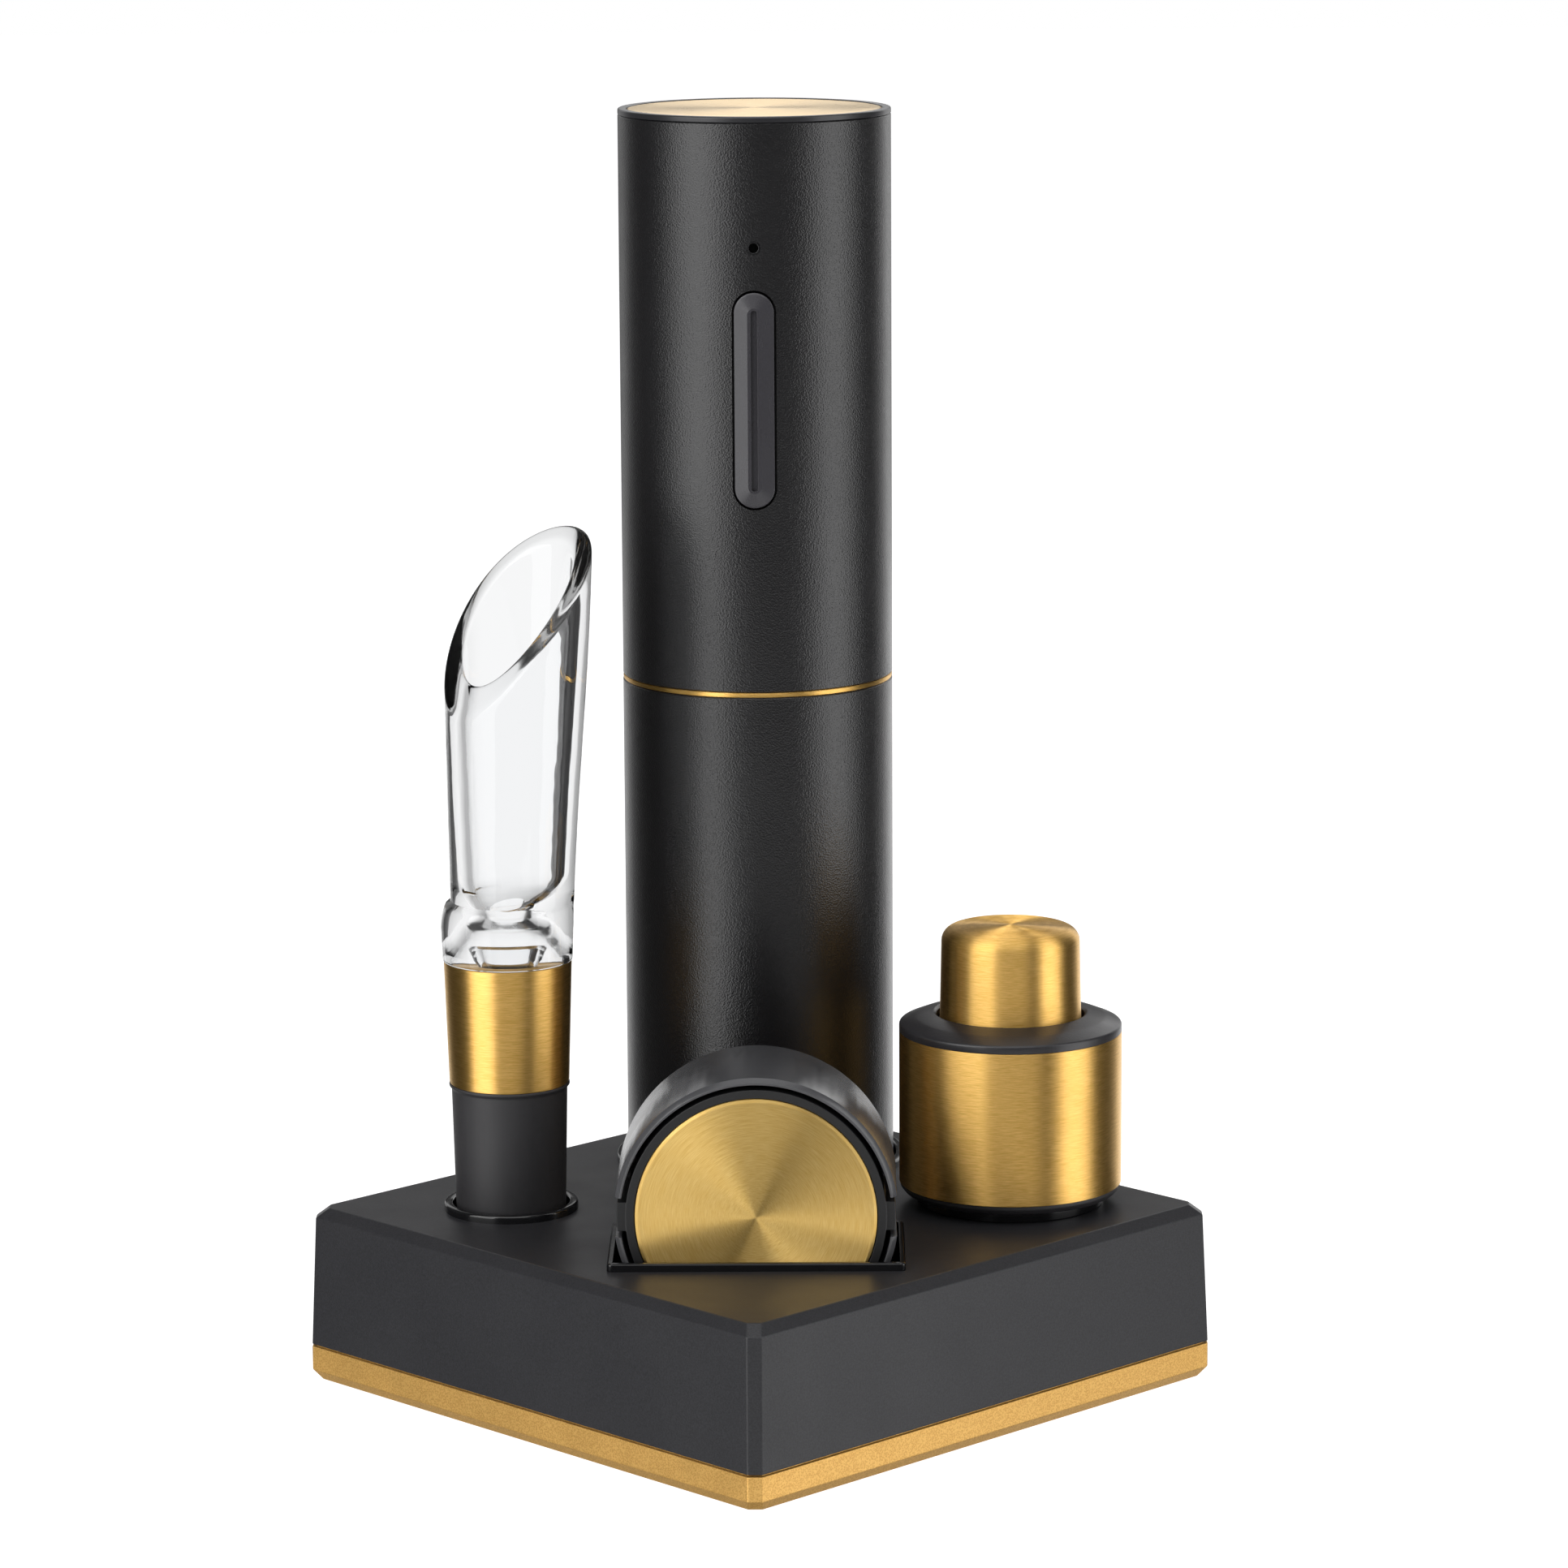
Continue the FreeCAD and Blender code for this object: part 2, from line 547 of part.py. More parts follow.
# ------------------------------------------------------------------ foil cutter
def half_disc_cut(upper):
    """Block that removes everything but the upper (or lower) grip's share of the puck."""
    z0, z1 = (cut_z - 60, cut_z + grip_end) if upper else (cut_z - grip_end, cut_z + 60)
    return box(-60, 60, cut_y - 5, cut_y + 60, z0, z1)


def cutter_parts():
    back = cut_y + cut_depth
    c = cut_z
    parts = {}
    disc = rod_y(disc_r, cut_y, cut_y + 1.6, 0, c)
    disc = disc.makeChamfer(0.35, [e for e in disc.Edges if e.BoundBox.YMax < cut_y + 0.01])
    parts["cutter_disc"] = disc
    core = fuse(tube_y(core_r, disc_r + 0.15, cut_y + 0.3, cut_y + 1.6, 0, c),
                rod_y(core_r, cut_y + 1.6, cut_y + 4.0, 0, c),
                tube_y(core_r, 20.4, cut_y + 4.0, cut_y + 9.5, 0, c),
                tube_y(neck_r + 1.0, neck_r, cut_y + 4.0, cut_y + 12.5, 0, c),
                *[box(s * 20.6 - 2.9, s * 20.6 + 2.9, cut_y + 1.0, back - 0.4, c - lug_half, c + lug_half)
                  for s in (-1, 1)])
    core = cut(core, rod_y(neck_r, cut_y + 4.0, back + 5, 0, c),
               rod_y(disc_r + 0.15, cut_y - 1, cut_y + 1.6, 0, c))
    core = core.common(rod_y(cut_r - 0.5, cut_y - 1, back + 1, 0, c))
    parts["cutter_body"] = core.removeSplitter()
    ring = tube_y(cut_r, grip_in_r, cut_y + 0.9, back, 0, c)
    lip = turned_y([(grip_in_r, cut_y + 0.0), (cut_r - 0.75, cut_y + 0.0), (cut_r, cut_y + 0.9),
                    (grip_in_r, cut_y + 0.9)], c)
    plates = [tube_y(cut_r - 0.1, 17.4, back - 10.2, back - 8.8, 0, c),
              tube_y(cut_r - 0.1, neck_r + 0.9, back - 1.9, back, 0, c)]
    shell = fuse(ring, lip, *plates)
    shell = cut(shell, *[box(s * 20.7 - 3.4, s * 20.7 + 3.4, cut_y - 1, back + 1,
                             c - grip_end, c + grip_end) for s in (-1, 1)])
    for name, upper in (("upper", True), ("lower", False)):
        side = 1 if upper else -1
        angles = (50, 130) if upper else (230, 310)
        half = cut(shell, half_disc_cut(upper))
        wheels = []
        pins = []
        for a in angles:
            wx = wheel_orbit * math.cos(math.radians(a))
            wz = c + wheel_orbit * math.sin(math.radians(a))
            half = cut(half, rod_y(0.8, back - 12, back + 1, wx, wz))
            pins.append(rod_y(0.8, back - 10.6, back - 0.4, wx, wz))
            hub = tube_y(1.5, 0.86, back - 8.4, back - 2.3, wx, wz)
            blade = turned_y([(0.86, -0.5), (wheel_r - 0.9, -0.5), (wheel_r, 0.0),
                              (wheel_r - 0.9, 0.5), (0.86, 0.5)], 0)
            blade.translate(V(wx, back - 5.4, wz))
            wheels.append(fuse(hub, blade))
        parts[name + "_grip"] = half
        parts[name + "_wheel_pins"] = group(pins)
        parts[name + "_wheel_left"] = wheels[1] if upper else wheels[0]
        parts[name + "_wheel_right"] = wheels[0] if upper else wheels[1]
        springs = []
        for sx in (-1, 1):
            z0 = c + side * (lug_half + 0.35) if upper else c - 6.9
            one = spring(1.2, 0.22, 0.95, z0, z0 + 4.05, sx * 19.3, back - 13.0)
            springs.append(one)
            shelf = box(sx * 20.9 - 2.4, sx * 20.9 + 2.4, back - 14.9, back - 11.0,
                        c + min(side * 7.2, side * 8.4), c + max(side * 7.2, side * 8.4))
            shelf = shelf.common(tube_y(cut_r - 0.2, neck_r + 1.4, back - 30, back + 1, 0, c))
            parts[name + "_grip"] = parts[name + "_grip"].fuse(shelf)
        parts[name + "_grip"] = parts[name + "_grip"].removeSplitter()
        parts[name + "_springs"] = group(springs)
    return parts


def turned_y(points, z):
    """Solid of revolution about the Y direction at height z, from (radius, y) points."""
    pts = [V(r, y, z) for r, y in points]
    return Part.Face(Part.makePolygon(pts + [pts[0]])).revolve(V(0, 0, z), Y_AXIS, 360)


# ------------------------------------------------------------------ vacuum stopper
def stopper_parts():
    x, y = stop_x, stop_y
    rim = turned([(17.6, rim_low), (18.4, rim_low), (19.0, rim_low + 0.4), (19.3, rim_low + 1.0),
                  (19.3, sleeve_bottom), (17.6, sleeve_bottom)], x, y)
    sleeve = turned([(18.4, sleeve_bottom), (stop_r - 0.2, sleeve_bottom),
                     (stop_r, sleeve_bottom + 0.2), (stop_r, sleeve_top - 0.2),
                     (stop_r - 0.2, sleeve_top), (18.4, sleeve_top)], x, y)
    hole = cap_r + 0.45
    collar = turned([(hole, sleeve_top - 2.0), (18.2, sleeve_top - 2.0), (18.2, sleeve_top),
                     (stop_r, sleeve_top), (stop_r, collar_edge - 0.35), (stop_r - 0.4, collar_edge),
                     (16.5, collar_edge + 1.15), (hole + 0.7, collar_top),
                     (hole, collar_top - 0.5)], x, y)
    inner = cap_r - 0.9
    cap = turned([(inner, cap_skirt), (cap_r, cap_skirt), (cap_r, cap_top - 3.2),
                  (cap_r - 0.35, cap_top - 1.9), (cap_r - 1.2, cap_top - 0.9),
                  (cap_r - 2.5, cap_top - 0.35), (cap_r - 5.0, cap_top - 0.1), (0, cap_top),
                  (0, cap_top - 1.6), (inner - 1.6, cap_top - 1.6), (inner, cap_top - 3.4)], x, y)
    ceiling = cap_top - 1.6
    seal = turned([(3.0, deck + 17.3), (3.0, deck + 15.5), (stop_bore_r, deck + 15.5),
                   (stop_bore_r, rim_low + 0.6), (stop_bore_r + 0.6, rim_low + 0.1),
                   (17.4, rim_low + 0.1), (17.4, deck + 17.3)], x, y)
    cylinder = turned([(9.6, deck + 30.6), (9.6, deck + 19.0), (2.0, deck + 19.0),
                       (2.0, deck + 17.4), (18.0, deck + 17.4), (18.0, deck + 19.0),
                       (11.0, deck + 19.0), (11.0, deck + 30.6)], x, y)
    piston = turned([(0, deck + 26.0), (9.5, deck + 26.0), (9.5, deck + 28.6), (2.6, deck + 28.6),
                     (2.6, ceiling - 1.0), (6.0, ceiling - 1.0), (6.0, ceiling), (0, ceiling)], x, y)
    pump_spring = spring(10.3, 0.4, 3.1, deck + 31.1, ceiling - 1.4, x, y, per_turn=48)
    valve = turned([(0, deck + 16.4), (2.9, deck + 16.4), (2.9, deck + 15.0), (4.2, deck + 15.0),
                    (4.2, deck + 14.4), (0, deck + 13.2)], x, y)
    valve = valve.fuse(cyl(1.9, deck + 16.4, deck + 19.6, x, y)).removeSplitter()
    return {"stopper_rim": rim, "stopper_sleeve": sleeve, "stopper_collar": collar,
            "pump_cap": cap, "bottle_seal": seal, "pump_cylinder": cylinder,
            "pump_piston": piston, "pump_spring": pump_spring, "air_valve": valve}


def all_parts():
    parts = stand_parts()
    parts["opener_socket"] = round_socket(24.4, 1.2, 26.0, opener_base - 0.2, 0, opener_y)
    parts["aerator_socket"] = round_socket(10.2, 1.1, 11.75, plug_bottom - 0.2, aer_x, aer_y)
    parts["cutter_socket"] = cutter_socket()
    parts["stopper_post"] = stopper_post()
    for maker in (opener_shells, button_parts, drive_parts, chassis_parts, aerator_parts,
                  cutter_parts, stopper_parts):
        parts.update(maker())
    return parts


def main():
    os.makedirs("parts", exist_ok=True)
    for name, shape in sorted(all_parts().items()):
        if shape.ShapeType == "Compound" and len(shape.Solids) == 1:
            shape = shape.Solids[0]
        state = "ok" if shape.isValid() else "INVALID"
        bb = shape.BoundBox
        print(f"{name:18s} {len(shape.Solids)} solid  {shape.Volume / 1000:8.2f} cm3  {state}  "
              f"z {bb.ZMin:.1f}..{bb.ZMax:.1f}")
        shape.exportStep("parts/" + name + ".step")


main()
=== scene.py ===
"""Looks for the electric wine opener set: stand, opener, pourer, foil cutter and stopper.

Lengths are in millimetres where they go through mm(), a Place or an outline, and in metres
elsewhere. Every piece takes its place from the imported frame. Angles are in degrees where they
are written as numbers.
"""
import json
import math

import bmesh
import bpy
from mathutils import Matrix, Vector

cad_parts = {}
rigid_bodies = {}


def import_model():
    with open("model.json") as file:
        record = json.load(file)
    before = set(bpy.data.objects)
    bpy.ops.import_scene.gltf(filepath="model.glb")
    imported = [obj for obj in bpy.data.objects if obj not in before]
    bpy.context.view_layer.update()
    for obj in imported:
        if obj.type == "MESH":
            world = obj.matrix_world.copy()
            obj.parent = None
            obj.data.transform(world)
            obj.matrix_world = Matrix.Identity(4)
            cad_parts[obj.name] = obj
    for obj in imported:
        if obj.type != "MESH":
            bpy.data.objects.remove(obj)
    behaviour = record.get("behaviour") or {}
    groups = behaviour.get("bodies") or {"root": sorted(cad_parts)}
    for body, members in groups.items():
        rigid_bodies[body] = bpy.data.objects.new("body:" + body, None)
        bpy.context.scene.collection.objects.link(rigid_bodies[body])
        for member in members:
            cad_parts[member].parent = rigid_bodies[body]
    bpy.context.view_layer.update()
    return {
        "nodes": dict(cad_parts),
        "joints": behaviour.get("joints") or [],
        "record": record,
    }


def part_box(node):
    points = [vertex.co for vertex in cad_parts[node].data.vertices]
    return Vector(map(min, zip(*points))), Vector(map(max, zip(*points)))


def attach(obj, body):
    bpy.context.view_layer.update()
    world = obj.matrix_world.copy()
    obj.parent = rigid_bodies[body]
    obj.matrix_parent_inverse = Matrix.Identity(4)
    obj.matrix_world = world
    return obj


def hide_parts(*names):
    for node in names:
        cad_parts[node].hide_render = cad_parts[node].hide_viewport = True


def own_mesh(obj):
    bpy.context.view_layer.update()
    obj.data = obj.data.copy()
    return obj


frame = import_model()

NODES = frame["nodes"]
MM = 0.001
STEPS = 192                     # sides of a turned piece
SOFT_EDGE_LIMIT = 24            # edges sharper than this are rounded, in degrees
TURNED_SHARP, PRESSED_SHARP = 32.0, 45.0    # smooth shading up to these angles


def mm(*values):
    return tuple(v * MM for v in values)


# ------------------------------------------------------------------ node helpers
class Tree:
    """A material's node tree with short calls for adding and linking nodes."""

    def __init__(self, name):
        self.material = bpy.data.materials.new(name)
        self.material.use_nodes = True
        self.tree = self.material.node_tree
        self.shader = self.tree.nodes["Principled BSDF"]
        self.coords = self.add("ShaderNodeTexCoord").outputs["Object"]

    def add(self, kind, **settings):
        node = self.tree.nodes.new(kind)
        for key, value in settings.items():
            setattr(node, key, value)
        return node

    def put(self, node, values):
        for key, value in values.items():
            if hasattr(value, "is_output"):
                self.tree.links.new(value, node.inputs[key])
            else:
                node.inputs[key].default_value = value
        return node

    def maths(self, operation, a, b=0.0):
        node = self.add("ShaderNodeMath", operation=operation)
        return self.put(node, {0: a, 1: b}).outputs[0]

    def noise(self, vector, scale, detail=3.0, rough=0.5):
        node = self.add("ShaderNodeTexNoise")
        self.put(node, {"Vector": vector, "Scale": scale, "Detail": detail, "Roughness": rough})
        return node.outputs["Fac"]

    def cells(self, vector, scale, smooth=0.6):
        node = self.add("ShaderNodeTexVoronoi", feature="SMOOTH_F1")
        self.put(node, {"Vector": vector, "Scale": scale, "Smoothness": smooth})
        return node.outputs["Distance"]

    def span(self, value, low, high, to_low, to_high):
        node = self.add("ShaderNodeMapRange")
        self.put(node, {"Value": value, "From Min": low, "From Max": high,
                        "To Min": to_low, "To Max": to_high})
        return node.outputs["Result"]

    def spread(self, noise, low, high):
        """Stretches the middle of a noise texture over low to high."""
        return self.span(noise, 0.3, 0.7, low, high)

    def mix(self, factor, a, b):
        node = self.add("ShaderNodeMix", data_type="RGBA")
        return self.put(node, {0: factor, 6: a, 7: b}).outputs[2]

    def bump(self, height, strength, distance):
        node = self.add("ShaderNodeBump")
        self.put(node, {"Height": height, "Strength": strength, "Distance": distance})
        return node.outputs["Normal"]

    def scaled(self, vector, factors):
        node = self.add("ShaderNodeVectorMath", operation="MULTIPLY")
        return self.put(node, {0: vector, 1: factors}).outputs[0]

    def finish(self, **values):
        self.put(self.shader, {k.replace("_", " "): v for k, v in values.items()})
        return self.material


def rgb(r, g, b):
    """Linear colour from display values of 0 to 255."""
    def linear(c):
        c /= 255.0
        return c / 12.92 if c <= 0.04045 else ((c + 0.055) / 1.055) ** 2.4
    return (linear(r), linear(g), linear(b), 1.0)


# Dark and light tones of the brushed metal: round parts, the cutter's disc with painted light, the
# opener's top disc with a painted reflection.
GOLD_TONES = rgb(220, 172, 84), rgb(250, 208, 128)
# Cutter's disc: the same gold made lighter, painted light for the light falling on its face.
FRONT_DISC_PAINTED_LIGHT_TONES = rgb(234, 190, 102), rgb(255, 222, 144)
# Opener's top disc: the same gold made paler and greyer, a painted reflection of white surroundings
# seen at a grazing angle.
TOP_DISC_PAINTED_REFLECTION_TONES = rgb(222, 190, 134), rgb(242, 216, 170)

# Texture scales are in cells per metre, and the depths of relief are in metres.
GRAIN_DEPTH, FINE_DEPTH, BRUSH_DEPTH = 0.00008, 0.00006, 0.00003
FLAKE_DEPTH, RIPPLE_DEPTH = 0.00004, 0.0004
BRUSH_LINES = 7500.0            # brush marks across their own direction
ROUND_BREAKS = 420.0            # breaks in a mark along a round part
DISC_BREAKS = 5.0               # breaks in a mark along a disc, per unit of direction


# ------------------------------------------------------------------ materials
def soft_black():
    """Soft-touch black with a fine leather-like grain."""
    t = Tree("soft_black_grain")
    grain = t.cells(t.coords, 3600.0)
    fine = t.noise(t.coords, 5200.0, 2.0)
    broad = t.noise(t.coords, 90.0, 3.0)
    height = t.maths("ADD", grain, t.maths("MULTIPLY", fine, 0.6))
    colour = t.mix(t.span(grain, 0.1, 0.7, 0.0, 1.0), rgb(6, 6, 7), rgb(12, 11, 13))
    rough = t.span(t.maths("ADD", t.maths("MULTIPLY", fine, 0.4), broad), 0.4, 1.0, 0.29, 0.33)
    return t.finish(Base_Color=colour, Roughness=rough, Normal=t.bump(height, 0.6, GRAIN_DEPTH),
                    Specular_IOR_Level=0.66)


def stand_black():
    """Satin black plastic with a fine spark-eroded grain."""
    t = Tree("stand_satin_black")
    grain = t.noise(t.coords, 3200.0, 3.0, 0.6)
    broad = t.noise(t.coords, 60.0, 3.0)
    colour = t.mix(t.span(grain, 0.35, 0.65, 0.0, 1.0), rgb(31, 31, 33), rgb(41, 41, 44))
    return t.finish(Base_Color=colour, Roughness=t.spread(broad, 0.36, 0.44),
                    Normal=t.bump(grain, 0.2, FINE_DEPTH), Specular_IOR_Level=0.35)


def grained_black(name, dark, light, low, high, depth):
    """Moulded black plastic with a very fine grain and faint handling marks."""
    t = Tree(name)
    fine = t.noise(t.coords, 3000.0, 3.0, 0.6)
    marks = t.noise(t.scaled(t.coords, (220.0, 220.0, 60.0)), 1.0, 4.0, 0.6)
    return t.finish(Base_Color=t.mix(fine, dark, light), Normal=t.bump(fine, depth, FINE_DEPTH),
                    Roughness=t.spread(marks, low, high))


def turned_streaks(t):
    """Short brush marks that run round a vertical axis."""
    return t.scaled(t.coords, (ROUND_BREAKS, ROUND_BREAKS, BRUSH_LINES))


def disc_streaks(axis):
    """Concentric brush marks on a flat face at right angles to axis, about the piece's origin."""
    def streaks(t):
        flat = {"Y": (1.0, 0.0, 1.0), "Z": (1.0, 1.0, 0.0)}[axis]
        inplane = t.scaled(t.coords, flat)
        length = t.put(t.add("ShaderNodeVectorMath", operation="LENGTH"), {0: inplane})
        unit = t.put(t.add("ShaderNodeVectorMath", operation="NORMALIZE"), {0: inplane})
        split = t.put(t.add("ShaderNodeSeparateXYZ"), {0: unit.outputs[0]})
        other = split.outputs["Z" if axis == "Y" else "Y"]
        join = t.put(t.add("ShaderNodeCombineXYZ"), {
            0: t.maths("MULTIPLY", split.outputs["X"], DISC_BREAKS),
            1: t.maths("MULTIPLY", other, DISC_BREAKS),
            2: t.maths("MULTIPLY", length.outputs["Value"], BRUSH_LINES)})
        return join.outputs[0]
    return streaks


def brushed_gold(name, streaks, axis, low, high, stretch, tones=GOLD_TONES):
    """Brushed brass-coloured metal, whose highlights stretch across the brush marks."""
    t = Tree(name)
    vector = streaks(t)
    lines = t.noise(vector, 1.0, 4.0, 0.65)
    cloud = t.noise(t.coords, 130.0, 2.0)
    colour = t.mix(t.span(lines, 0.32, 0.68, 0.0, 1.0), *tones)
    rough = t.span(t.maths("ADD", lines, t.maths("MULTIPLY", cloud, 0.6)), 0.5, 1.1, low, high)
    tangent = t.add("ShaderNodeTangent", direction_type="RADIAL", axis=axis)
    return t.finish(Base_Color=colour, Metallic=1.0, Roughness=rough,
                    Normal=t.bump(lines, 0.3, BRUSH_DEPTH), Anisotropic=stretch,
                    Anisotropic_Rotation=0.25, Tangent=tangent.outputs[0])


def painted_gold():
    """Satin gold paint with fine metallic flake."""
    t = Tree("painted_gold_plate")
    flake = t.cells(t.coords, 3400.0, 0.2)
    cloud = t.noise(t.coords, 150.0, 3.0)
    colour = t.mix(t.span(flake, 0.1, 0.7, 0.0, 1.0), rgb(186, 140, 70), rgb(216, 172, 98))
    return t.finish(Base_Color=colour, Metallic=0.7, Roughness=t.spread(cloud, 0.4, 0.48),
                    Normal=t.bump(flake, 0.14, FLAKE_DEPTH))


def gloss_black():
    """Polished black trim with faint swirl marks."""
    t = Tree("gloss_black_trim")
    swirl = t.noise(t.coords, 400.0, 4.0, 0.6)
    return t.finish(Base_Color=t.mix(swirl, rgb(12, 12, 13), rgb(20, 20, 22)),
                    Roughness=t.spread(swirl, 0.08, 0.14))


def clear_acrylic():
    """Clear moulded acrylic with a trace of haze, a little matt where it is cut and faces up."""
    t = Tree("clear_acrylic")
    haze = t.noise(t.coords, 250.0, 3.0)
    ripple = t.noise(t.scaled(t.coords, (260.0, 260.0, 90.0)), 1.0, 2.0)
    normal = t.add("ShaderNodeNewGeometry").outputs["Normal"]
    facing = t.put(t.add("ShaderNodeSeparateXYZ"), {0: normal})
    cut = t.span(facing.outputs["Z"], 0.3, 0.6, 0.0, 0.16)
    return t.finish(Base_Color=(0.985, 0.99, 0.995, 1.0), Transmission_Weight=1.0, IOR=1.31,
                    Normal=t.bump(ripple, 0.18, RIPPLE_DEPTH),
                    Roughness=t.maths("ADD", cut, t.span(haze, 0.35, 0.8, 0.0, 0.015)))


def drawn_steel(name, dark, light, low, high):
    """Bright or dark steel with fine marks along Z."""
    t = Tree(name)
    lines = t.noise(t.scaled(t.coords, (5000.0, 5000.0, 400.0)), 1.0, 3.0)
    return t.finish(Base_Color=t.mix(lines, dark, light), Metallic=1.0,
                    Roughness=t.spread(lines, low, high))


def moulded(name, dark, light, low=0.4, high=0.6, depth=0.08):
    """Plain moulded plastic or rubber with a fine mottle."""
    t = Tree(name)
    fine = t.noise(t.coords, 1500.0, 4.0, 0.6)
    return t.finish(Base_Color=t.mix(fine, dark, light), Roughness=t.spread(fine, low, high),
                    Normal=t.bump(fine, depth, GRAIN_DEPTH))


MAT = {
    "soft_black": soft_black(),
    "stand_black": stand_black(),
    "satin_black": grained_black("satin_black_plastic", rgb(22, 22, 24), rgb(32, 32, 35),
                                 0.3, 0.38, 0.12),
    # Glossy black grips with the base lifted to dark grey: painted reflection of the bright
    # surroundings.
    "grip_black_painted_reflection": grained_black("grip_gloss_black_painted_reflection", rgb(58, 58, 60), rgb(68, 68, 70),
                                0.2, 0.26, 0.04),
    "core_black": grained_black("core_black_plastic", rgb(13, 13, 14), rgb(20, 20, 21),
                                0.4, 0.48, 0.2),
    "button_black": grained_black("button_black_grain", rgb(38, 37, 40), rgb(50, 49, 53),
                                  0.24, 0.31, 0.2),
    "collar_black": grained_black("collar_black_grain", rgb(26, 25, 27), rgb(36, 35, 38),
                                  0.3, 0.38, 0.4),
    "gloss_black": gloss_black(),
    "brushed_gold": brushed_gold("brushed_gold_round", turned_streaks, "Z", 0.44, 0.56, 0.94),
    # Both discs carry painted light in their tones: lighter on the cutter's face, paler and greyer
    # on the top disc.
    "gold_disc_y": brushed_gold("brushed_gold_disc_front_painted_light", disc_streaks("Y"), "Y", 0.46, 0.54, 0.97,
                                FRONT_DISC_PAINTED_LIGHT_TONES),
    "gold_disc_z": brushed_gold("brushed_gold_disc_top_painted_reflection", disc_streaks("Z"), "Z", 0.26, 0.36, 0.6,
                                TOP_DISC_PAINTED_REFLECTION_TONES),
    "painted_gold": painted_gold(),
    "black_rubber": moulded("matte_black_rubber", rgb(30, 29, 31), rgb(42, 41, 43),
                            0.5, 0.62, 0.15),
    "clear_acrylic": clear_acrylic(),
    "bright_steel": drawn_steel("bright_steel", rgb(170, 170, 172), rgb(205, 205, 208), 0.16, 0.3),
    "dark_steel": drawn_steel("rolled_steel", rgb(96, 96, 99), rgb(130, 130, 134), 0.3, 0.45),
    "nylon": moulded("white_nylon", rgb(205, 202, 190), rgb(222, 219, 208)),
    "board_green": moulded("board_green", rgb(18, 70, 38), rgb(30, 92, 50), 0.3, 0.4),
    "cell_wrap": moulded("cell_sleeve", rgb(38, 72, 118), rgb(48, 88, 138), 0.2, 0.3),
    "gear_brass": drawn_steel("cut_brass", rgb(176, 140, 70), rgb(214, 178, 104), 0.22, 0.4),
    "inner_plastic": moulded("inner_black_plastic", rgb(34, 34, 36), rgb(46, 46, 48)),
}
# Finishes of single nodes that differ from their slot's.
# The grips take the black with the painted reflection in its base.
NODE_FINISH = {"rocker_button": "button_black", "upper_grip": "grip_black_painted_reflection",
               "lower_grip": "grip_black_painted_reflection", "cutter_body": "core_black"}
# Widths of the small rounds on nodes with edges in view, in millimetres.
SOFTENED = {"stand_housing": 0.22, "base_plate": 0.15, "rocker_button": 0.14, "upper_grip": 0.16,
            "lower_grip": 0.16, "cutter_body": 0.12, "cutter_socket": 0.3}


def soften(obj, width):
    """Small rounds on a CAD node's sharp edges, made by modifiers over its unchanged mesh."""
    weld = obj.modifiers.new("weld", "WELD")
    weld.merge_threshold = 0.001 * MM
    flat = obj.modifiers.new("flat", "DECIMATE")
    flat.decimate_type = "DISSOLVE"
    flat.angle_limit = math.radians(0.3)
    bevel = obj.modifiers.new("soft_edges", "BEVEL")
    bevel.width = width * MM
    bevel.segments = 3
    bevel.limit_method = "ANGLE"
    bevel.angle_limit = math.radians(SOFT_EDGE_LIMIT)
    bevel.harden_normals = True


def dress_nodes():
    """Gives every carried-over CAD node the finish of its slot, and soft edges where it shows."""
    slots = {s["node"]: s["material_slot"] for s in frame["record"]["subparts"]}
    for name, obj in NODES.items():
        obj.data.materials.clear()
        obj.data.materials.append(MAT[NODE_FINISH.get(name, slots[name])])
        if name in SOFTENED:
            soften(obj, SOFTENED[name])


# ------------------------------------------------------------------ mesh helpers
class Place:
    """Centre, radius and heights of a round CAD node whose axis is vertical, in millimetres."""

    def __init__(self, node):
        low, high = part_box(node)
        self.x = (low[0] + high[0]) / 2 / MM
        self.y = (low[1] + high[1]) / 2 / MM
        self.r = (high[0] - low[0]) / 2 / MM
        self.low = low[2] / MM
        self.high = high[2] / MM


def rounded(points, segments=5):
    """Closed outline with round corners. A point is (a, b) or (a, b, corner radius)."""
    out = []
    count = len(points)
    for i, point in enumerate(points):
        here = Vector(point[:2])
        radius = point[2] if len(point) > 2 else 0.0
        before = (Vector(points[i - 1][:2]) - here).normalized()
        after = (Vector(points[(i + 1) % count][:2]) - here).normalized()
        if radius <= 0:
            out.append(tuple(here))
            continue
        half = before.angle(after) / 2
        back = radius / math.tan(half)
        centre = here + (before + after).normalized() * (radius / math.sin(half))
        start, end = here + before * back - centre, here + after * back - centre
        turn = math.atan2(start.x * end.y - start.y * end.x, start.dot(end))
        for k in range(segments + 1):
            a = turn * k / segments
            c, s = math.cos(a), math.sin(a)
            out.append((centre.x + start.x * c - start.y * s, centre.y + start.x * s + start.y * c))
    return out


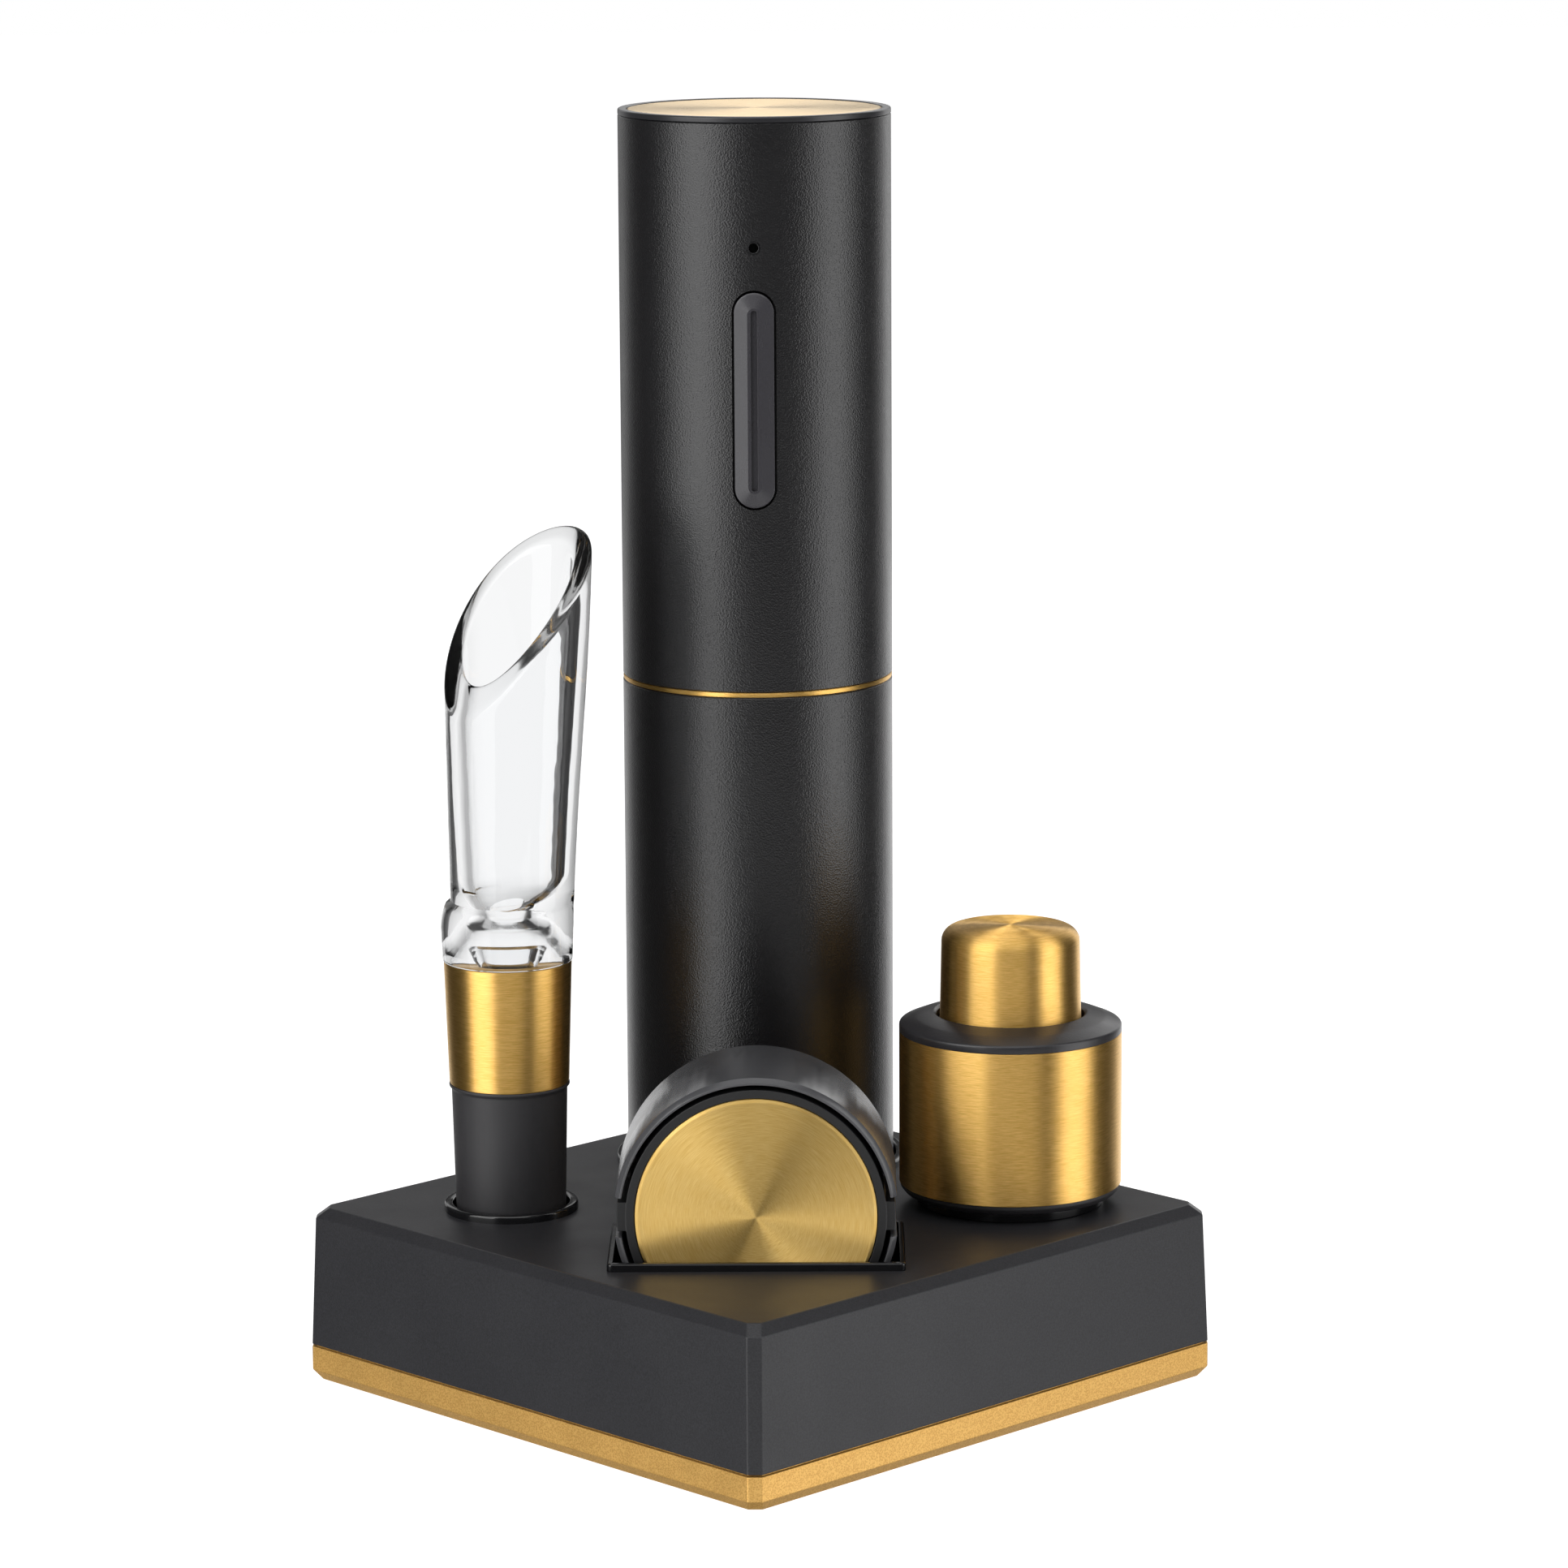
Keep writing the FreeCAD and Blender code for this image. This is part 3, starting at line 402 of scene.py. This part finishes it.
def new_piece(name, rings, material, sharp, origin, body, replaced):
    """Skins a closed loop of rings (lists of points in mm about origin) into a smooth piece."""
    mesh = bpy.data.meshes.new(name)
    bm = bmesh.new()
    made = []
    for ring in rings:
        if len(ring) == 1:
            made.append([bm.verts.new(mm(*ring[0]))] * STEPS)
        else:
            made.append([bm.verts.new(mm(*point)) for point in ring])
    for i, ring in enumerate(made):
        other = made[(i + 1) % len(made)]
        for k in range(STEPS):
            n = (k + 1) % STEPS
            quad = [ring[k], ring[n], other[n], other[k]]
            face = [v for j, v in enumerate(quad) if v != quad[j - 1]]
            if len(face) > 2:
                bm.faces.new(face).smooth = True
    bmesh.ops.recalc_face_normals(bm, faces=bm.faces)
    bm.to_mesh(mesh)
    bm.free()
    mesh.set_sharp_from_angle(angle=math.radians(sharp))
    mesh.materials.append(material)
    piece = bpy.data.objects.new(name, mesh)
    piece.location = mm(*origin)
    bpy.context.scene.collection.objects.link(piece)
    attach(piece, body)
    if replaced:
        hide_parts(*replaced)
    return piece


def lathe(name, outline, material, centre, body, replaced=(), axis="Z",
          sharp=TURNED_SHARP):
    """Turns a closed outline of (radius, height) points about the axis through centre."""
    turns = [(math.cos(2 * math.pi * k / STEPS), math.sin(2 * math.pi * k / STEPS))
             for k in range(STEPS)]
    rings = []
    for radius, height in outline:
        around = turns if radius > 1e-6 else [(0.0, 0.0)]
        if axis == "Z":
            rings.append([(radius * c, radius * s, height) for c, s in around])
        else:
            rings.append([(radius * c, height, -radius * s) for c, s in around])
    return new_piece(name, rings, material, sharp, centre, body, replaced)


# ------------------------------------------------------------------ opener
def opener_pieces():
    """Cap rim and top disc, the ring between the shells, the indicator's rim, the stand's cup."""
    rim, disc, accent = Place("top_rim"), Place("top_disc"), Place("accent_ring")
    top, r = rim.high - rim.low, rim.r
    plug, seam, width, recess = r - 2.1, 1.5, 1.6, 0.8
    lathe("opener_cap_rim",
          rounded([(0, 0), (plug, 0), (plug, seam), (r, seam, 0.12), (r, top, 0.32),
                   (r - width, top, 0.25), (r - width, top - recess), (0, top - recess)]),
          MAT["satin_black"], (rim.x, rim.y, rim.low), "opener", ["top_rim"])
    thick = disc.high - disc.low
    lathe("opener_top_disc",
          rounded([(0, 0), (disc.r, 0), (disc.r, thick - 0.06, 0.22), (disc.r - 3.0, thick, 4.0),
                   (0, thick)]),
          MAT["gold_disc_z"], (disc.x, disc.y, disc.low), "opener", ["top_disc"])
    tall, crown = accent.high - accent.low, 0.04
    inside = accent.r - 1.8
    lathe("opener_gold_ring",
          rounded([(inside, 0), (accent.r, crown, 0.2), (accent.r, tall - crown, 0.2),
                   (inside, tall)]),
          MAT["brushed_gold"], (accent.x, accent.y, accent.low), "opener",
          ["accent_ring"])
    low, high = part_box("indicator_lens")
    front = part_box("upper_shell")[0][1] / MM
    hole, edge, back, face = 0.84, 1.18, 0.9, 0.06
    lathe("indicator_rim",
          rounded([(hole, back), (edge, back), (edge, face, 0.1), (hole, face, 0.1)]),
          MAT["gloss_black"], (0, front, (low[2] + high[2]) / 2 / MM), "opener",
          axis="Y")
    socket_piece("opener_trim_ring", "opener_socket", bore=24.4, wall=1.2)


def socket_piece(name, node, bore, wall):
    """Cup in the stand with its glossy, rounded trim ring on the deck."""
    place = Place(node)
    tall, ring = place.high - place.low, 1.4
    deck = tall - ring
    lathe(name,
          rounded([(0, 0), (bore + wall, 0, 0.6), (bore + wall, deck), (place.r, deck),
                   (place.r, tall, 0.5), (bore, tall, 0.5), (bore, wall, 0.6), (0, wall)]),
          MAT["gloss_black"], (place.x, place.y, place.low), "stand", [node])


# ------------------------------------------------------------------ aerator pourer
def cubic(levels, z):
    """Smooth value through four evenly spaced (z, value, ...) rows."""
    out = []
    for column in range(1, len(levels[0])):
        total = 0.0
        for i, row in enumerate(levels):
            weight = 1.0
            for j, other in enumerate(levels):
                if i != j:
                    weight *= (z - other[0]) / (row[0] - other[0])
            total += weight * row[column]
        out.append(total)
    return out


class MouthCut:
    """The slanted, bowed cut across the spout: height as a function of the lean direction."""

    def __init__(self, low, mid, tip):
        (ax, ay), (bx, by), (cx, cy) = low, mid, tip
        d = 2 * (ax * (by - cy) + bx * (cy - ay) + cx * (ay - by))
        a2, b2, c2 = ax * ax + ay * ay, bx * bx + by * by, cx * cx + cy * cy
        self.x = (a2 * (by - cy) + b2 * (cy - ay) + c2 * (ay - by)) / d
        self.z = (a2 * (cx - bx) + b2 * (ax - cx) + c2 * (bx - ax)) / d
        self.r = math.hypot(ax - self.x, ay - self.z)
        self.top = cy

    def height(self, u):
        reach = max(self.r ** 2 - (u - self.x) ** 2, 0.0)
        return min(self.z + math.sqrt(reach), self.top)


def curve(a, corner, b, count=5):
    """Points of a quadratic curve from a to b that turns at corner."""
    out = []
    for k in range(count + 1):
        t = k / count
        out.append(a * (1 - t) ** 2 + corner * (2 * t * (1 - t)) + b * t ** 2)
    return out


def wall_point(levels, z, c, s):
    """Point of an oval wall at height z. A level is (z, shift, radius along, radius across)."""
    shift, along, across = cubic(levels, z)
    return Vector((shift + along * c, across * s, z))


def spout_piece():
    """Clear spout: collar, leaning oval wall, rounded rim of the slanted mouth, inner bowl.

    The spout leans along +X here, with heights above the deck, and is then turned and lifted.
    """
    foot = Place("aerator_sleeve")
    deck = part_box("stand_housing")[1][2] / MM
    base = foot.high + 0.1 - deck
    outer = [(54, 1.3, 10.9, 10.6), (77, 2.0, 11.8, 11.4), (100, 3.0, 12.8, 12.3),
             (123, 3.5, 13.2, 12.7)]
    inner = [(60, 1.6, 7.4, 7.2), (82, 2.2, 8.5, 8.2), (104, 3.1, 9.4, 9.0), (126, 3.6, 10.2, 9.8)]
    mouth = MouthCut((-13.0, 82.6), (4.0, 107.4), (16.9, 119.6))
    cut_low, cut_high, halvings = 70.0, 124.0, 40
    soft = 1.25
    lean = math.radians(45)
    shoulder_r, shoulder_top = 11.6, 55.2
    collar_top = base + 5.6
    collar = ((11.0, base), (11.28, base + 0.1), (11.38, base + 0.35), (11.45, base + 2.8),
              (11.55, collar_top))
    bowl_z, bowl_r, bowl_slope, drain_r = 60.0, 7.4, 0.26, 3.2
    drain_z = bowl_z - math.sqrt(bowl_r ** 2 - drain_r ** 2)
    drain = ((3.3, drain_z - 1.0), (3.8, 51.7), (5.7, 51.2), (6.4, 50.6), (7.4, 49.2),
             (9.3, base + 1.6), (9.6, base + 0.9), (9.6, base))
    shoulder_rows, wall_rows, rim_rows, bowl_rows = 9, 24, 6, 12

    def cut_height(levels, c, s):
        """Height at which a wall meets the mouth's cut, found by halving."""
        low, high = cut_low, cut_high
        for _ in range(halvings):
            z = (low + high) / 2
            if z < mouth.height(wall_point(levels, z, c, s).x):
                low = z
            else:
                high = z
        return low

    def on_rim(a, b, f):
        p = a.lerp(b, f)
        p.z = mouth.height(p.x)
        return p

    def outside(c, s, top):
        """Collar, shoulder that flows into the leaning oval, and the wall up to the rim."""
        points = [Vector((r * c, r * s, z)) for r, z in collar]
        for i in range(1, shoulder_rows + 1):
            f = i / shoulder_rows
            z = collar_top + (shoulder_top - collar_top) * f
            straight = Vector((shoulder_r * c, shoulder_r * s, z))
            leaning = wall_point(outer, z, c, s)
            points.append(leaning.lerp(straight, max(0.0, math.sqrt(1 - f * f))))
        for i in range(1, wall_rows + 1):
            z = shoulder_top + (top - soft - shoulder_top) * i / wall_rows
            points.append(wall_point(outer, z, c, s))
        return points

    def inside(c, s, top):
        """Inner wall down to the bowl, and the bowl down to its sloping drain."""
        points = []
        for i in range(1, wall_rows + 1):
            z = top - soft + (bowl_z - top + soft) * i / wall_rows
            points.append(wall_point(inner, z, c, s))
        shift, along, across = cubic(inner, bowl_z)
        full = math.acos(drain_r / bowl_r)
        for i in range(1, bowl_rows + 1):
            a = full * i / bowl_rows
            f = i / bowl_rows
            r = bowl_r * math.cos(a)
            grow_x = 1 + (along / bowl_r - 1) * (1 - f)
            grow_y = 1 + (across / bowl_r - 1) * (1 - f)
            x = shift * (1 - f * f) + r * grow_x * c
            points.append(Vector((x, r * grow_y * s,
                                  bowl_z - bowl_r * math.sin(a) + bowl_slope * f * x)))
        return points + [Vector((r * c, r * s, z)) for r, z in drain]

    def section(k):
        """Points of the wall at one angle: up the outside, over the rim, down the inside."""
        c, s = math.cos(2 * math.pi * k / STEPS), math.sin(2 * math.pi * k / STEPS)
        top_o, top_i = cut_height(outer, c, s), cut_height(inner, c, s)
        corner_o, corner_i = wall_point(outer, top_o, c, s), wall_point(inner, top_i, c, s)
        share = soft / max((corner_o - corner_i).length, 1.0)
        points = outside(c, s, top_o)
        points += curve(points[-1], corner_o, on_rim(corner_o, corner_i, share))[1:]
        for i in range(1, rim_rows):
            f = share + (1 - 2 * share) * i / rim_rows
            points.append(on_rim(corner_o, corner_i, f))
        start = on_rim(corner_o, corner_i, 1 - share)
        points += curve(start, corner_i, wall_point(inner, top_i - soft, c, s))
        return points + inside(c, s, top_i)

    spin = Matrix.Rotation(lean, 3, "Z")
    lines = [[spin @ p + Vector((0, 0, deck)) for p in section(k)] for k in range(STEPS)]
    rings = [[tuple(column[i]) for column in lines] for i in range(len(lines[0]))]
    new_piece("pourer_spout", rings, MAT["clear_acrylic"], 50.0, (foot.x, foot.y, 0.0),
              "aerator", ["aerator_spout"])


def aerator_pieces():
    """Gold sleeve, ribbed rubber plug, funnel and spout of the pourer, and its cup."""
    sleeve, plug = Place("aerator_sleeve"), Place("aerator_plug")
    centre = (sleeve.x, sleeve.y)
    tall, throat_r, lid = sleeve.high - sleeve.low, 5.0, 0.5
    lathe("pourer_gold_sleeve",
          rounded([(9.6, 0), (10.35, 0, 0.2), (10.47, 0.5), (sleeve.r, tall, 0.16),
                   (throat_r, tall, 0.1), (throat_r, tall - lid, 0.1), (10.1, tall - lid)]),
          MAT["brushed_gold"], (*centre, sleeve.low), "aerator",
          ["aerator_sleeve"])
    lip = sleeve.low - plug.low - 0.05
    bore, neck, neck_top = 4.2, 9.55, lip + 7.4
    ribs, first_rib, rib_pitch, rib_r, taper = 3, 4.0, 4.2, 9.85, 0.05
    outline = [(bore, 0), (8.4, 0, 0.6), (9.0, 1.2, 0.5)]
    for i in range(ribs):
        z = first_rib + rib_pitch * i
        outline += [(9.1 + taper * i, z, 0.2), (rib_r, z + 0.9, 0.25),
                    (9.15 + taper * i, z + 1.5, 0.2)]
    outline += [(9.62, 22.0, 3.0), (10.1, lip - 0.9, 0.6), (10.55, lip - 0.35, 0.3),
                (10.5, lip + 0.05, 0.15), (neck, lip + 0.05), (neck, neck_top), (bore, neck_top)]
    lathe("pourer_rubber_plug", rounded(outline), MAT["black_rubber"], (*centre, plug.low),
          "aerator", ["aerator_plug"], sharp=40.0)
    throat = sleeve.high
    bore, flange, foot, cup_top = 3.3, 9.3, throat - 11.6, throat + 4.1
    lathe("pourer_funnel",
          rounded([(bore, foot), (flange, foot), (flange, throat - 9.6), (4.5, throat - 9.2),
                   (4.7, throat - 0.6), (6.7, throat + 3.6, 0.2), (6.3, cup_top, 0.2),
                   (4.4, cup_top, 0.3), (bore, throat - 0.4, 1.0)]),
          MAT["clear_acrylic"], (*centre, 0.0), "aerator", ["aerator_funnel"])
    socket_piece("pourer_trim_ring", "aerator_socket", bore=10.2, wall=1.1)
    spout_piece()


# ------------------------------------------------------------------ foil cutter
def cutter_pieces():
    """Brushed disc on the front of the foil cutter, dished a little inside its raised lip."""
    low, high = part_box("cutter_disc")
    r = (high[0] - low[0]) / 2 / MM
    thick = (high[1] - low[1]) / MM
    centre = (0, low[1] / MM, (low[2] + high[2]) / 2 / MM)
    dish, lip, chamfer = 0.12, 0.5, 0.34
    lathe("cutter_gold_disc",
          rounded([(0, dish), (r - 1.1, dish / 2, 0.6), (r - lip, 0, 0.3), (r, chamfer, 0.3),
                   (r, thick), (0, thick)]),
          MAT["gold_disc_y"], centre, "cutter", ["cutter_disc"], axis="Y",
          sharp=50.0)


# ------------------------------------------------------------------ vacuum stopper
def stopper_pieces():
    """Rim, sleeve, collar and pump cap of the vacuum stopper, and the boss that locates it."""
    rim, sleeve = Place("stopper_rim"), Place("stopper_sleeve")
    collar, cap, post = Place("stopper_collar"), Place("pump_cap"), Place("stopper_post")
    x, y = sleeve.x, sleeve.y
    tall, inside = rim.high - rim.low, 17.6
    lathe("stopper_black_rim",
          rounded([(inside, 0, 0.2), (18.5, 0, 0.7), (rim.r, 1.0, 0.6), (rim.r, tall),
                   (inside, tall)]),
          MAT["black_rubber"], (x, y, rim.low), "stopper", ["stopper_rim"])
    tall, inside = sleeve.high - sleeve.low, 18.4
    lathe("stopper_gold_sleeve",
          rounded([(inside, 0), (sleeve.r, 0, 0.2), (sleeve.r, tall, 0.2), (inside, tall)]),
          MAT["brushed_gold"], (x, y, sleeve.low), "stopper", ["stopper_sleeve"])
    tall, inside = collar.high - collar.low, 18.2
    hole, edge = cap.r + 0.45, 2.0
    lathe("stopper_collar_cap",
          rounded([(hole, 0), (inside, 0), (inside, edge), (collar.r, edge, 0.15),
                   (collar.r, edge + 1.35, 0.55), (16.6, edge + 2.5, 6.0),
                   (hole + 0.5, tall, 0.35), (hole, tall - 0.5, 0.2)]),
          MAT["collar_black"], (x, y, collar.low), "stopper", ["stopper_collar"],
          sharp=PRESSED_SHARP)
    top, wall, roof = cap.high - cap.low, 0.9, 1.6
    shoulder = cap.r - 0.45
    lathe("stopper_pump_cap",
          rounded([(cap.r - wall, 0, 0.2), (cap.r, 0, 0.2), (shoulder, top - 0.55, 2.5),
                   (6.5, top - 0.1, 20.0), (0, top), (0, top - roof),
                   (shoulder - wall - 1.0, top - roof, 0.4), (shoulder - wall, top - 2.9, 0.4)],
                  segments=9),
          MAT["brushed_gold"], (x, y, cap.low), "pump", ["pump_cap"],
          sharp=PRESSED_SHARP)
    tall, wall, roof = post.high - post.low, 1.0, 1.4
    stem, flange, boss, under, over = 10.0, 16.4, 14.5, 6.0, 7.9
    lathe("stopper_seat",
          rounded([(stem - wall, 0), (stem, 0), (stem, under), (flange, under, 0.2),
                   (flange, over, 0.3), (boss, over), (boss, tall, 0.6), (0, tall),
                   (0, tall - roof), (stem - wall, tall - roof)]),
          MAT["gloss_black"], (post.x, post.y, post.low), "stand",
          ["stopper_post"])


# ------------------------------------------------------------------ springs
def spring_pieces():
    """Copies of the springs' CAD meshes in bright steel, riding on the parent body of the joint
    that they push against.
    """
    for joint in frame["joints"]:
        for spring in joint.get("deforming_nodes", []):
            node, fixed = spring["node"], spring["fixed_end_z_m"]
            wire = NODES[node].data.copy()
            wire.materials.clear()
            wire.materials.append(MAT["bright_steel"])
            for face in wire.polygons:
                face.use_smooth = True
            piece = bpy.data.objects.new(node + "_wire", wire)
            bpy.context.scene.collection.objects.link(piece)
            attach(piece, joint["parent"])
            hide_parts(node)
            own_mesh(piece)


# ------------------------------------------------------------------ stage, light and camera
def make_floor():
    """Pale floor that reads as white and adds no reflection, shadow or tint to the set."""
    bpy.ops.mesh.primitive_plane_add(size=8.0, location=(0, 0, 0))
    floor = bpy.context.object
    floor.name = "floor"
    t = Tree("pale_floor")
    wash = t.noise(t.coords, 3.0, 2.0)
    floor.data.materials.append(t.finish(
        Base_Color=t.mix(wash, (0.26, 0.26, 0.26, 1), (0.3, 0.3, 0.3, 1)), Roughness=0.9,
        Emission_Color=(1, 1, 1, 1), Emission_Strength=1.0))
    floor.visible_glossy = False
    floor.visible_transmission = False
    floor.visible_shadow = False


def soft_box(name, turn, width, radiance, reach=1.1, low=-1.0, high=1.4):
    """Upright light panel that faces the set, turned from the camera's side towards +X."""
    turn = math.radians(turn)
    tall = high - low
    light = panel(name, (width, tall), radiance)
    light.location = (reach * math.sin(turn), -reach * math.cos(turn), (low + high) / 2)
    light.rotation_euler = (math.radians(90), 0, turn)


def panel(name, size, radiance):
    """Rectangular light of a given radiance that is seen only in reflections."""
    data = bpy.data.lights.new(name, "AREA")
    data.shape = "RECTANGLE"
    data.size, data.size_y = size
    data.energy = radiance * math.pi * size[0] * size[1]
    light = bpy.data.objects.new(name, data)
    light.visible_camera = False
    light.visible_transmission = False
    bpy.context.scene.collection.objects.link(light)
    return light


def make_lights():
    """Two big keys in front, rims behind, and narrow panels that draw single highlights."""
    soft_box("left_key", -50, 0.9, 2.4)
    soft_box("left_high", -50, 0.9, 1.6, reach=1.0, low=0.4, high=1.3)
    soft_box("right_key", 71, 0.7, 2.4)
    soft_box("front_low", 8, 0.6, 0.95, reach=0.6, low=-0.5, high=-0.06)
    soft_box("back_table", 180, 0.9, 1.0, reach=1.0, low=-0.9, high=-0.01)
    soft_box("left_rim", -150, 0.4, 0.6)
    soft_box("right_rim", 150, 0.5, 1.2)
    soft_box("back_high", 180, 1.4, 0.7, reach=1.5, low=0.48, high=0.8)
    soft_box("disc_fill", 180, 0.14, 1.5, reach=0.36, low=0.3, high=0.6)
    top = panel("top_soft", (1.0, 1.0), 1.3)
    top.location = (0, 0.1, 1.4)
    front = panel("front_high", (1.3, 0.8), 2.0)
    front.location = (0, -0.85, 1.15)
    front.rotation_euler = (math.radians(38), 0, 0)


def make_world():
    """White behind the set and, fading to grey at its sides, through the clear parts. Dim room."""
    world = bpy.data.worlds.new("studio")
    bpy.context.scene.world = world
    world.use_nodes = True
    nodes, links = world.node_tree.nodes, world.node_tree.links

    def joined(operation, a, b):
        node = nodes.new("ShaderNodeMath")
        node.operation = operation
        links.new(a, node.inputs[0])
        links.new(b, node.inputs[1])
        return node.outputs[0]

    back = nodes["Background"]
    back.inputs["Color"].default_value = (1, 1, 1, 1)
    room = nodes.new("ShaderNodeBackground")
    room.inputs["Color"].default_value = (1, 1, 1, 1)
    room.inputs["Strength"].default_value = 0.08
    path = nodes.new("ShaderNodeLightPath")
    towards = nodes.new("ShaderNodeSeparateXYZ")
    links.new(nodes.new("ShaderNodeTexCoord").outputs["Generated"], towards.inputs[0])
    behind = nodes.new("ShaderNodeMapRange")
    for key, value in (("From Min", 0.62), ("From Max", 0.94), ("To Min", 0.42), ("To Max", 0.96)):
        behind.inputs[key].default_value = value
    links.new(towards.outputs["Y"], behind.inputs["Value"])
    through = joined("MULTIPLY", path.outputs["Is Transmission Ray"], behind.outputs["Result"])
    seen = joined("MAXIMUM", path.outputs["Is Camera Ray"], through)
    mix = nodes.new("ShaderNodeMixShader")
    links.new(seen, mix.inputs[0])
    links.new(room.outputs[0], mix.inputs[1])
    links.new(back.outputs[0], mix.inputs[2])
    links.new(mix.outputs[0], nodes["World Output"].inputs["Surface"])


def make_camera():
    """The photograph's place and angle: a long lens about a metre in front of the set."""
    place, lens, film = mm(12.1, -996.0, 295.4), 134.3, 36.0
    yaw, pitch, roll = (math.radians(a) for a in (-0.419, 10.714, -0.327))
    look = Vector((math.sin(yaw) * math.cos(pitch), math.cos(yaw) * math.cos(pitch),
                   -math.sin(pitch)))
    right = Vector((math.cos(yaw), -math.sin(yaw), 0))
    up = right.cross(look)
    right_r = math.cos(roll) * right + math.sin(roll) * up
    up_r = -math.sin(roll) * right + math.cos(roll) * up
    data = bpy.data.cameras.new("camera")
    data.sensor_width = film
    data.lens = lens
    camera = bpy.data.objects.new("camera", data)
    bpy.context.scene.collection.objects.link(camera)
    stance = Matrix((right_r, up_r, -look)).transposed().to_4x4()
    stance.translation = place
    camera.matrix_world = stance
    bpy.context.scene.camera = camera


dress_nodes()
opener_pieces()
aerator_pieces()
cutter_pieces()
stopper_pieces()
spring_pieces()
make_floor()
make_lights()
make_world()
make_camera()
bpy.context.scene.view_settings.view_transform = "Standard"
